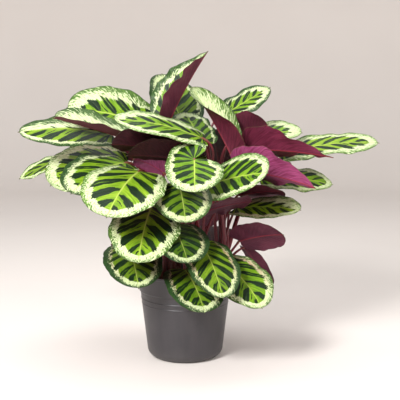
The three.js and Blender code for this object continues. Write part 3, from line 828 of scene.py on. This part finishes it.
def vein_number(leaf, t, s):
    """Where on the midrib the vein through this point starts: 0 at the stalk, 1 at the tip.
    A vein gains on t by its lead, which is less for the veins near the tip.  Points behind
    the first vein get a negative number, which goes by how far round the stalk they are."""
    lead = VEIN_LEAD * np.abs(s) ** VEIN_BOW
    ahead = t - lead * (1 - VEIN_SHORTENING * t)
    first = lead / (1 + VEIN_SHORTENING * lead)
    behind = FAN * (bearing(leaf, t, s) - bearing(leaf, first, s))
    return np.where(ahead > 0, ahead, behind)


reached = round(float(vein_number(LEAVES[3], 0.5, 1.0)), 2)
print("the vein that meets the margin halfway up starts at", reached, "of the midrib")

# %% The two sheets of a blade
BLADE_ROWS = 84
BLADE_COLUMNS = 45
EDGE_THICKNESS = 0.35 * MM
MIDRIB_DEPTH = 1.5 * MM
MIDRIB_REACH = 1.5 * MM
GROOVE = 0.35 * MM
PLEAT = 0.35 * MM
PLEATS = 11
PLEAT_START = 0.12
RIB_TURN = 0.8 * MM
RIB_EASE = 0.03
RIB_CROWDING = 1.35
BASE_TRIM = 0.002
NIBBLE_SHIFT = 1.7
WAVE_SHIFT = 2.1
WAVE_RISE = 2.6
WAVE_FADE = 0.6

t_steps = (1 - np.cos(np.pi * np.linspace(0, 1, BLADE_ROWS))) / 2
t_steps = BASE_TRIM + (1 - BASE_TRIM) * t_steps
s_steps = np.linspace(-1, 1, BLADE_COLUMNS)
s_steps = np.sign(s_steps) * np.abs(s_steps) ** RIB_CROWDING
BLADE_T, BLADE_S = np.meshgrid(t_steps, s_steps, indexing="ij")
print("points on a sheet:", BLADE_T.size)

# %% The middle of a blade
def blade_sheet(leaf, waves, nibbles):
    """The middle of the blade and its upward normal, on the grid of t and s.  Each half
    starts at the angle of the fold and turns back by the curl, which is the arc of a circle,
    scaled by the half-width.  The waves lift the margin up and down, and the nibbles make its
    outline wider and narrower.  The normal turns from one half to the other over a short way
    beside the midrib, so that the two sheets of a folded blade don't cross there."""
    t, s = BLADE_T, BLADE_S
    place, _, side, face, _ = midrib(leaf, drawn_back(leaf, t, s))
    half = half_width(leaf, t, s)
    for count, phase, size in nibbles:
        half_turn = phase + np.where(s > 0, 0.0, NIBBLE_SHIFT)
        half = half * (1 + size * np.sin(2 * np.pi * count * t + half_turn))
    q = np.abs(s)
    eased = np.sqrt(q ** 2 + RIB_EASE ** 2) - RIB_EASE
    fold = np.radians(leaf["fold"]) * (1 - leaf["open"] * t ** 2)
    curl = np.radians(leaf["curl"])
    out = (np.sin(fold) - np.sin(fold - curl * q)) / curl * np.sign(s)
    lift = (np.cos(fold - curl * eased) - np.cos(fold)) / curl
    swim = 0
    for count, phase, size in waves:
        half_turn = phase + np.where(s > 0, 0.0, WAVE_SHIFT)
        swim = swim + size * np.sin(2 * np.pi * count * t + half_turn)
    swim = swim * q ** WAVE_RISE * np.sin(np.pi * t) ** WAVE_FADE
    pleat = PLEAT * np.cos(2 * np.pi * PLEATS * vein_number(leaf, t, s)) * np.sin(np.pi * q)
    pleat = pleat * (1 - np.exp(-(t / PLEAT_START) ** 2))
    turning = np.clip(s * half / RIB_TURN, -1, 1)
    lean = ((fold - curl * q) * turning)[..., None]
    normal = np.cos(lean) * face - np.sin(lean) * side
    middle = place + (half * out + hooked(leaf, t, s))[..., None] * side
    middle = middle + (half * lift)[..., None] * face
    return middle + (swim + pleat)[..., None] * normal, normal, half


plain_middle, _, _ = blade_sheet(LEAVES[3], [], [])
print("a blade without waves stands", round(float(np.ptp(plain_middle[..., 2])) / MM), "mm high")

# %% The edge of a blade, and its faces
OUTLINE_POINTS = 500


def edge_distance(x, y):
    """How far each point of the flattened blade is from the blade's outline, measured to
    points spaced evenly along it."""
    left, right = np.stack([x[:, 0], y[:, 0]], -1), np.stack([x[:, -1], y[:, -1]], -1)
    rail = np.concatenate([left, right[::-1]])
    spot = np.linspace(0, len(rail) - 1, OUTLINE_POINTS)
    outline = np.stack([np.interp(spot, np.arange(len(rail)), rail[:, k]) for k in (0, 1)], -1)
    flat = np.stack([x, y], axis=-1).reshape(-1, 1, 2)
    return np.linalg.norm(flat - outline, axis=-1).min(axis=1).reshape(x.shape)


def sheet_faces(rows, columns):
    """An upper and a lower grid with their faces outwards, joined all round the edge."""
    upper = grid_quads(rows, columns)
    under = upper[:, ::-1] + rows * columns
    grid = np.arange(rows * columns).reshape(rows, columns)
    loop = np.concatenate([grid[0, :-1], grid[:-1, -1], grid[-1, :0:-1], grid[:0:-1, 0]])
    after = np.roll(loop, -1)
    rim = np.stack([after, loop, loop + rows * columns, after + rows * columns], axis=-1)
    return [upper, under, rim]


print("faces of a blade:", sum(len(part) for part in sheet_faces(*BLADE_T.shape)))

# %% [markdown]
# ## The finish of a leaf
#
# The pattern is painted along the veins.  Each stripe is a cell of the vein coordinate: dark
# green near its middle, with a width that starts narrow at the midrib, swells and tapers
# again, and differs from stripe to stripe.  Some cells hold a second short dash.  The cream
# band and the green rim go by the distance from the edge.  Their borders are torn, because
# the colour runs out along each fine vein by itself, so the noise that moves them is
# stretched along the veins too.  The lower face has a finish of its own in the same material:
# wine red with darker veins.

# %% Leaf finish: what the mesh tells, and two helpers
skin = Finish("calathea_leaf", Roughness=0.4, Specular_IOR_Level=0.22)
ramp, blend, between = skin.ramp, skin.blend, skin.between
phase, offset, edge = skin.attribute("vein_map")
upper_side, along, half_here = skin.attribute("leaf_kind")
# The blush is the leaf's own pink; the second value is painted shade, and the third is painted
# light on the wine-red face.
blush, shade, pink = skin.attribute("leaf_blush_shade_light")
tone, rim_share, _ = skin.attribute("leaf_tone")

side = skin.math("SIGN", offset)
from_rib = skin.math("ABSOLUTE", offset)
over = skin.math("DIVIDE", from_rib, from_rib + edge + 0.01)  # 0 at the rib, 1 at the edge


def swing(noise, size):
    """Noise that swings about zero."""
    return (noise - 0.5) * size


def vein_noise(pitch, run, detail=2.0, along_vein=over):
    """Noise that is stretched along the veins: pitch across them, run along them."""
    where = skin.vector(phase * pitch, along_vein * run, side)
    return skin.noise(where, 1.0, detail, 0.6)


skin.tell()

# %% Leaf finish: noise that follows the veins
streaks = vein_noise(9.0, 2.2, 3.0)
hairs = vein_noise(26.0, 5.0)
wander = vein_noise(1.6, 2.4, 1.0)
jagged = vein_noise(5.0, 9.0, 3.0)
frayed = vein_noise(10.0, 0.16, 3.0, edge)
flecks = vein_noise(10.0, 0.36, 2.0, edge)
skin.tell()

# %% Leaf finish: where the stripes are
SIDE_SHIFT = 0.23
VEIN_SWING = 0.34
VEIN_TEARS = 0.09
JAGS = 0.16

shifted = phase + side * SIDE_SHIFT + swing(wander, VEIN_SWING) + swing(streaks, VEIN_TEARS)
number = skin.math("FLOOR", shifted)
roll_a, roll_b, roll_c = skin.dice(skin.vector(number, side, 0.0))
off_middle = skin.math("ABSOLUTE", skin.math("FRACT", shifted) - 0.5) + swing(jagged, JAGS)

swell = ramp(over, 0.0, 0.34, 0.09, 0.285)
tail_start = ramp(roll_b, 0.0, 1.0, 0.62, 0.80)
tail_end = ramp(roll_b, 0.0, 1.0, 0.95, 1.3)
stripe_half = swell * ramp(over, tail_start, tail_end, 1.0, 0.15)
stripe_half = stripe_half * ramp(roll_a, 0.0, 1.0, 0.74, 1.2)
stripe = ramp(stripe_half - off_middle, -0.006, 0.014)
skin.tell()

# %% Leaf finish: split stripes, and short dashes between stripes
split = ramp(roll_c, 0.6, 0.7) * ramp(over, 0.2, 0.4)
split = split * ramp(off_middle, 0.035, 0.015)
stripe = stripe * ramp(split, 0.0, 1.0, 1.0, 0.25)
roll_d, _, _ = skin.dice(skin.vector(skin.math("FLOOR", shifted + 0.5), side, 7.0))
dash_half = ramp(over, 0.03, 0.16) * ramp(over, 0.5, 0.2)
dash_half = dash_half * ramp(roll_d, 0.5, 0.7, 0.0, 0.065)
dash = ramp(dash_half - 0.51 + off_middle, -0.008, 0.012)
dark = skin.math("MAXIMUM", stripe, dash) * ramp(from_rib, 0.8, 1.7)
skin.tell()

# %% Leaf finish: the green middle
fresh = ramp(tone, -1.0, 1.0)
lime = between(streaks, 0.3, 0.72, (81, 125, 17), (127, 166, 31))
ripe = between(streaks, 0.3, 0.72, (109, 145, 22), (153, 182, 44))
lime = blend(fresh, lime, ripe)
lime = blend(ramp(hairs, 0.5, 0.75) * 0.45, lime, tint(64, 105, 20))
lime = blend(ramp(over, 0.0, 0.14, 0.5, 0.0), lime, tint(158, 186, 53))
lime = blend(ramp(off_middle, 0.4, 0.2, 0.0, 0.4), lime, tint(66, 110, 22))
# Painted shade: a leaf in the shadow of others, and partly an older leaf, gets a darker olive lime.
lime = blend(shade, lime, tint(61, 90, 22))
deep = between(streaks, 0.35, 0.7, (13, 31, 13), (29, 52, 24))
deep = blend(ramp(hairs, 0.52, 0.78) * 0.4, deep, tint(53, 77, 40))
middle = blend(dark, lime, deep)
skin.tell()

# %% Leaf finish: the cream band
BAND_INNER = 13.2
INNER_SWING = 13.0
INNER_TEARS = 9.0

tooth = ramp(off_middle, 0.1, 0.32, -1.6, 1.6)
inner = BAND_INNER + tooth + swing(streaks, INNER_SWING) + swing(frayed, INNER_TEARS)
inner = skin.math("MINIMUM", inner, half_here * 0.36 + 0.8)
in_band = ramp(inner - edge, -0.25, 0.5)
cream = between(hairs, 0.35, 0.7, (216, 226, 182), (186, 206, 140))
cream = blend(ramp(frayed, 0.5, 0.68, 0.0, 0.5), cream, tint(140, 174, 92))
pinkness = blush * (ramp(along, 0.75, 0.0) * ramp(flecks, 0.3, 0.6))
cream = blend(pinkness, cream, tint(186, 124, 112))
# Painted shade darkens the cream band too.
cream = blend(shade * 0.4, cream, tint(150, 156, 108))
skin.tell()

# %% Leaf finish: the green rim
RIM_WIDTH = 6.4
RIM_SWING = 8.0
RIM_TEARS = 12.0

old = ramp(rim_share, 0.7, 1.2)
rim_here = ramp(along, 0.2, 1.0, 1.15, 0.3) * RIM_WIDTH * rim_share
rim_here = rim_here + swing(wander, RIM_SWING) + swing(frayed, RIM_TEARS)
rim_here = rim_here + swing(flecks, ramp(old, 0.0, 1.0, 42.0, 22.0))
in_rim = ramp(rim_here - edge, -1.2, 1.6)
young_rim = between(streaks, 0.3, 0.7, (58, 92, 32), (112, 146, 60))
old_rim = between(streaks, 0.3, 0.7, (26, 50, 24), (58, 90, 42))
rim = blend(old, young_rim, old_rim)
rim = blend(ramp(edge, 1.4, 0.2, 0.0, 0.8), rim, tint(48, 62, 30))
# Painted shade darkens the rim too.
rim = blend(shade * 0.5, rim, tint(31, 50, 28))
painted = blend(in_band, middle, blend(in_rim, cream, rim))
skin.tell()

# %% Leaf finish: the pale line of the midrib
rib_width = ramp(along, 0.0, 1.0, 1.2, 0.4)
rib = ramp(rib_width - from_rib, -0.25, 0.3)
rib = rib * ramp(edge, 1.0, 6.0)
# The midrib's pale line is darker with painted shade.
painted = blend(rib, painted, blend(shade, tint(171, 190, 85), tint(138, 151, 77)))
skin.tell()

# %% Leaf finish: the wine-red lower face
vein_line = skin.math("ABSOLUTE", skin.math("FRACT", phase * 2.0) - 0.5)
vein_line = ramp(vein_line, 0.08, 0.0)
blotches = skin.noise(skin.place(), 30.0, 3.0)
wine = between(streaks, 0.3, 0.7, (80, 20, 38), (122, 38, 60))
wine = blend(ramp(blotches, 0.45, 0.7, 0.0, 0.5), wine, tint(62, 14, 30))
dull_wine = between(blotches, 0.3, 0.7, (80, 32, 52), (108, 52, 70))
wine = blend(fresh, dull_wine, wine)
# Painted light: a lighter, pinker copy of the wine red for a lower face that catches the light,
# mixed in by the leaf's third value.
lit_wine = between(streaks, 0.3, 0.7, (122, 40, 78), (172, 82, 132))
wine = blend(pink, wine, lit_wine)
wine = blend(ramp(hairs, 0.45, 0.8) * 0.3, wine, tint(140, 62, 84))
wine = blend(vein_line * 0.35, wine, tint(50, 12, 26))
wine = blend(ramp(from_rib, 2.2, 0.8, 0.0, 0.8), wine, tint(146, 46, 56))
wine = blend(ramp(edge, 1.0, 0.2, 0.0, 0.6), wine, tint(110, 88, 60))
# Painted shade: a lower face in the shadow of other leaves goes near black.
wine = blend(shade * 0.95, wine, tint(28, 9, 15))
skin.tell()

# %% Leaf finish: colour, gloss and relief
skin.feed("Base Color", blend(upper_side, wine, painted))
gloss = ramp(upper_side, 0.0, 1.0, 0.5, 0.38)
skin.feed("Roughness", gloss + hairs * 0.12)
skin.relief(vein_line * -0.6 + hairs * 0.35 + streaks * 0.5, 0.8 * MM, 0.6)
skin.tell()

# %% The blades
STRIPES = 5.2
PHASE_STEP = 17
STANDARD_WIDTH = 100
BARE_REACH = 32
BARE_DEPTH = 22
BARE_FADE = 0.7
RIDGE_AT_STALK = 1.1
WAVES = (((1.2, 2.4), (1.5, 3.2)), ((3.5, 6.0), (0.6, 1.4)))
NIBBLES = (((2.5, 4.5), (0.01, 0.025)), ((7.0, 11.0), (0.004, 0.01)))


def drawn(ranges, scale, unit):
    """Draws a count, a phase and a size for each pair of ranges."""
    return [(dice.uniform(*count), dice.uniform(0, 2 * np.pi), scale * dice.uniform(*size) * unit)
            for count, size in ranges]


def grow_blade(number, leaf):
    """One closed blade with the maps that its pattern follows.  Distances in the maps are
    those of a blade of standard width, so the pattern grows with the leaf, and each leaf has
    a phase far from the others', so that no two get the same noise.  Beside the stalk the map
    claims a greater distance from the edge, because the cream band stops short there."""
    waves, nibbles = drawn(WAVES, leaf["ripple"], MM), drawn(NIBBLES, leaf["ripple"], 1)
    middle, normal, half = blade_sheet(leaf, waves, nibbles)
    from_rib = np.abs(BLADE_S) * half
    ridge = np.exp(-(from_rib / MIDRIB_REACH) ** 2) * (RIDGE_AT_STALK - BLADE_T)
    top = middle + (EDGE_THICKNESS / 2 - GROOVE * ridge)[..., None] * normal
    under = middle - (EDGE_THICKNESS / 2 + MIDRIB_DEPTH * ridge)[..., None] * normal
    along = vein_number(leaf, BLADE_T, BLADE_S)
    phase = STRIPES * along * dice.uniform(0.92, 1.1) + dice.uniform(0, 1) + PHASE_STEP * number
    scale = STANDARD_WIDTH / leaf["width"] / MM
    across, forward = flat_place(leaf, BLADE_T, BLADE_S)
    band = np.where(BLADE_S < 0, *leaf["band"])
    edge = edge_distance(across, forward) * scale / band
    near_stalk = np.clip(1 - np.hypot(across, forward) * scale / BARE_REACH, 0, 1)
    edge = edge + BARE_DEPTH * near_stalk ** BARE_FADE
    vein_map = np.stack([phase, BLADE_S * half * scale, edge], -1)
    # The leaf's blush, its painted shade and its painted light on the wine face.
    blush_shade_light = [leaf["blush"], leaf["shade"], leaf["pink"]]
    drawn_tone, drawn_rim = dice.uniform(-0.7, 0.7), dice.uniform(0.6, 1.3)
    tone = [leaf.get("tone", drawn_tone), leaf.get("rim", drawn_rim), 0.0]
    kinds = [np.stack([np.full(along.shape, upper), along, half * scale], -1).reshape(-1, 3)
             for upper in (1.0, 0.0)]
    maps = {"vein_map": np.concatenate([vein_map.reshape(-1, 3)] * 2),
            "leaf_kind": np.concatenate(kinds), "leaf_blush_shade_light": np.tile(blush_shade_light, (2 * along.size, 1)),
            "leaf_tone": np.tile(tone, (2 * along.size, 1))}
    points = np.concatenate([top.reshape(-1, 3), under.reshape(-1, 3)])
    faces = sheet_faces(*BLADE_T.shape)
    blade = add_mesh(f"blade_{number:02d}", points, faces, skin.material, maps)
    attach(blade, "root")
    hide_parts(f"leaf_{number:02d}")
    return blade


blades = [grow_blade(number, leaf) for number, leaf in enumerate(LEAVES, start=1)]
print("blades:", len(blades), "of", len(blades[0].data.polygons), "faces each")

# %% [markdown]
# ## Stalks
#
# A stalk rises from its clump as a sheath, thins to a round stem, and just under the blade it
# swells again into the short joint that lets the leaf turn.  It is a round section carried
# along a curve: a cubic curve from the clump to the blade, and then a few steps along the
# midrib's underside, where the stalk runs out into the rib.

# %% The path of a stalk
STALK_START = 140 * MM
STALK_ROOT = 126 * MM
STALK_REACH = 6 * MM
STALK_RISE = 0.55
STALK_TURN = 60 * MM
STALK_TURN_SHARE = 0.35
STALK_RINGS = 46
RUN_OUT = (0.02, 0.05, 0.09)
RUN_OUT_DROP = 0.9 * MM


def stalk_path(leaf):
    """Points up the stalk: straight up out of the mix, the curve, and the run-out on the rib."""
    shoot = SHOOTS[leaf["shoot"] - 1]
    sway = np.array([*leaf["sway"], 0]) * MM
    place, heading, _, face, _ = midrib(leaf, np.array([0.0, *RUN_OUT]))
    joint = np.radians(leaf["joint"])
    arrival = np.cos(joint) * heading[0] + np.sin(joint) * face[0]
    end = place[0] - CLEARANCE * arrival
    turn = min(STALK_TURN, STALK_TURN_SHARE * (end[2] - STALK_START))
    toward = end[:2] - shoot
    gap = np.hypot(*toward)
    start = np.array([*(shoot + toward / gap * min(STALK_REACH, gap)), STALK_START])
    rising = start + sway + np.array([0, 0, STALK_RISE * (end[2] - STALK_START)])
    arriving = end - turn * arrival
    u = np.linspace(0, 1, STALK_RINGS)[:, None]
    curve = ((1 - u) ** 3 * start + 3 * (1 - u) ** 2 * u * rising
             + 3 * (1 - u) * u ** 2 * arriving + u ** 3 * end)
    root = np.array([*shoot, STALK_ROOT]) * 0.5 + np.array([*start[:2], STALK_ROOT]) * 0.5
    run_out = place[1:] - RUN_OUT_DROP * face[1:]
    return np.concatenate([[root], curve, run_out])


stalk_tops = [float(stalk_path(leaf)[-1, 2]) / MM for leaf in LEAVES]
print("stalks end", round(min(stalk_tops)), "to", round(max(stalk_tops)), "mm above the floor")

# %% The thickness of a stalk
STEM_RADIUS = 1.8 * MM
STEM_TAPER = 1.0 * MM
SHEATH_RADIUS = 1.2 * MM
SHEATH_SHARE = 0.2
JOINT_RADIUS = 0.5 * MM
JOINT_PLACE = 0.90
JOINT_SHARE = 0.035
END_SHARE = 0.06
END_RADIUS = 0.3


def stalk_radius(v):
    """Sheath below, thin stem, a swollen joint near the top, then a taper into the rib.
    The sheath and the joint are bell curves added to a stem that thins evenly."""
    sheath = SHEATH_RADIUS * np.exp(-(v / SHEATH_SHARE) ** 2)
    joint = JOINT_RADIUS * np.exp(-((v - JOINT_PLACE) / JOINT_SHARE) ** 2)
    end = np.clip((1 - v) / END_SHARE, END_RADIUS, 1)
    return (STEM_RADIUS + STEM_TAPER * (1 - v) + sheath + joint) * end


print("a stalk is", round(2 * float(stalk_radius(0.5)) / MM, 1), "mm thick halfway up")

# %% A round section along a path
STALK_SIDES = 12


def tube(path, radius, sides):
    """A round section carried along a path.  The section is kept upright by a fixed
    direction that is level and square to the path's overall heading."""
    heading = np.gradient(path, axis=0)
    heading /= np.linalg.norm(heading, axis=1, keepdims=True)
    level = np.array([path[-1, 1] - path[0, 1], path[0, 0] - path[-1, 0], 0])
    level /= np.linalg.norm(level) + 1e-9
    first = np.cross(heading, level)
    first /= np.linalg.norm(first, axis=1, keepdims=True)
    second = np.cross(heading, first)
    angle = np.linspace(0, 2 * np.pi, sides, endpoint=False)[:, None]
    rings = path[:, None] + radius[:, None, None] * (
        np.cos(angle) * first[:, None] + np.sin(angle) * second[:, None])
    return np.concatenate([rings.reshape(-1, 3), path[:1], path[-1:]])


def tube_faces(rings, sides):
    """The wall of a tube and a fan over each end."""
    here = np.arange(sides)
    after = (here + 1) % sides
    last = (rings - 1) * sides
    start, end = rings * sides, rings * sides + 1
    return [grid_quads(rings, sides, closed=True),
            np.concatenate([np.stack([np.full(sides, start), after, here], -1),
                            np.stack([np.full(sides, end), last + here, last + after], -1)])]


print("faces around a stalk:", STALK_SIDES)

# %% Stalk finish
red = Finish("stalk_red", Roughness=0.38)
height_share, round_share, own = red.attribute("stalk_map")
fibre_place = red.vector(round_share * 16.0, height_share * 5.0, own)
fibres = red.noise(fibre_place, 1.0, 3.0, 0.6)
patches = red.noise(red.place(), 60.0, 3.0)
burgundy = red.between(fibres, 0.3, 0.7, (80, 12, 26), (124, 26, 42))
burgundy = red.blend(red.ramp(patches, 0.5, 0.75) * 0.5, burgundy, tint(134, 48, 54))
burgundy = red.blend(red.ramp(height_share, 0.16, 0.0, 0.0, 0.75), burgundy, tint(98, 70, 48))
burgundy = red.blend(red.ramp(height_share, 0.84, 0.92, 0.0, 0.45), burgundy, tint(132, 92, 58))
red.feed("Base Color", burgundy)
red.feed("Roughness", red.ramp(patches, 0.2, 0.8, 0.32, 0.48))
red.relief(fibres, 0.3 * MM, 0.5)
red.tell()

# %% The clumps of stalks
CROWN_RADIUS = 10 * MM
CROWN_TOP = 150 * MM
CROWN_BOTTOM = 121 * MM
CROWN_SIDES = 24
CROWN_NARROWING = 0.85
CROWN_POWER = 2.2
LOBES = 5
LOBE_SIZE = 0.10
crown_share = np.linspace(0, 1, 14)
CROWN_PROFILE = np.concatenate([
    [[0, CROWN_BOTTOM]],
    np.stack([CROWN_RADIUS * (1 - CROWN_NARROWING * crown_share ** CROWN_POWER),
              CROWN_BOTTOM + (CROWN_TOP - CROWN_BOTTOM) * crown_share], axis=-1),
    [[0, CROWN_TOP + 0.5 * MM]],
])


def grow_shoot(number):
    """The swollen foot of a clump and every stalk that rises from it, as one piece.  The
    map holds how far up the stalk a point is, the cosine of its angle round the stalk, and a
    number of the stalk's own.  The foot is as brown as the lowest end of a stalk."""
    centre = np.array([*SHOOTS[number - 1], 0])
    foot, foot_faces = turned(CROWN_PROFILE, CROWN_SIDES)
    lobes = 1 + LOBE_SIZE * np.sin(LOBES * np.arctan2(foot[:, 1], foot[:, 0]) + number)
    foot[:, :2] *= lobes[:, None]
    all_points, all_maps = [foot + centre], [np.tile([0.0, 0.3, number], (len(foot), 1))]
    all_faces = list(foot_faces)
    start = len(foot)
    for order, leaf in enumerate(row for row in LEAVES if row["shoot"] == number):
        path = stalk_path(leaf)
        v = np.linspace(0, 1, len(path))
        points = tube(path, stalk_radius(v), STALK_SIDES)
        around = np.cos(np.linspace(0, 2 * np.pi, STALK_SIDES, endpoint=False))
        own_number = number * 20.0 + order
        wall = np.stack(np.broadcast_arrays(v[:, None], around[None, :], own_number), -1)
        ends = [[0, 0, own_number], [1, 0, own_number]]
        all_points.append(points)
        all_maps.append(np.concatenate([wall.reshape(-1, 3), ends]))
        all_faces += [part + start for part in tube_faces(len(path), STALK_SIDES)]
        start += len(points)
    shoot = add_mesh(f"stalks_{number}", np.concatenate(all_points), all_faces, red.material,
                     {"stalk_map": np.concatenate(all_maps)})
    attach(shoot, "root")
    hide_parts(f"shoot_{number}")
    return shoot


clumps = [grow_shoot(number) for number in range(1, len(SHOOTS) + 1)]
print("stalks:", sum(len(clump.data.polygons) for clump in clumps), "faces in all")
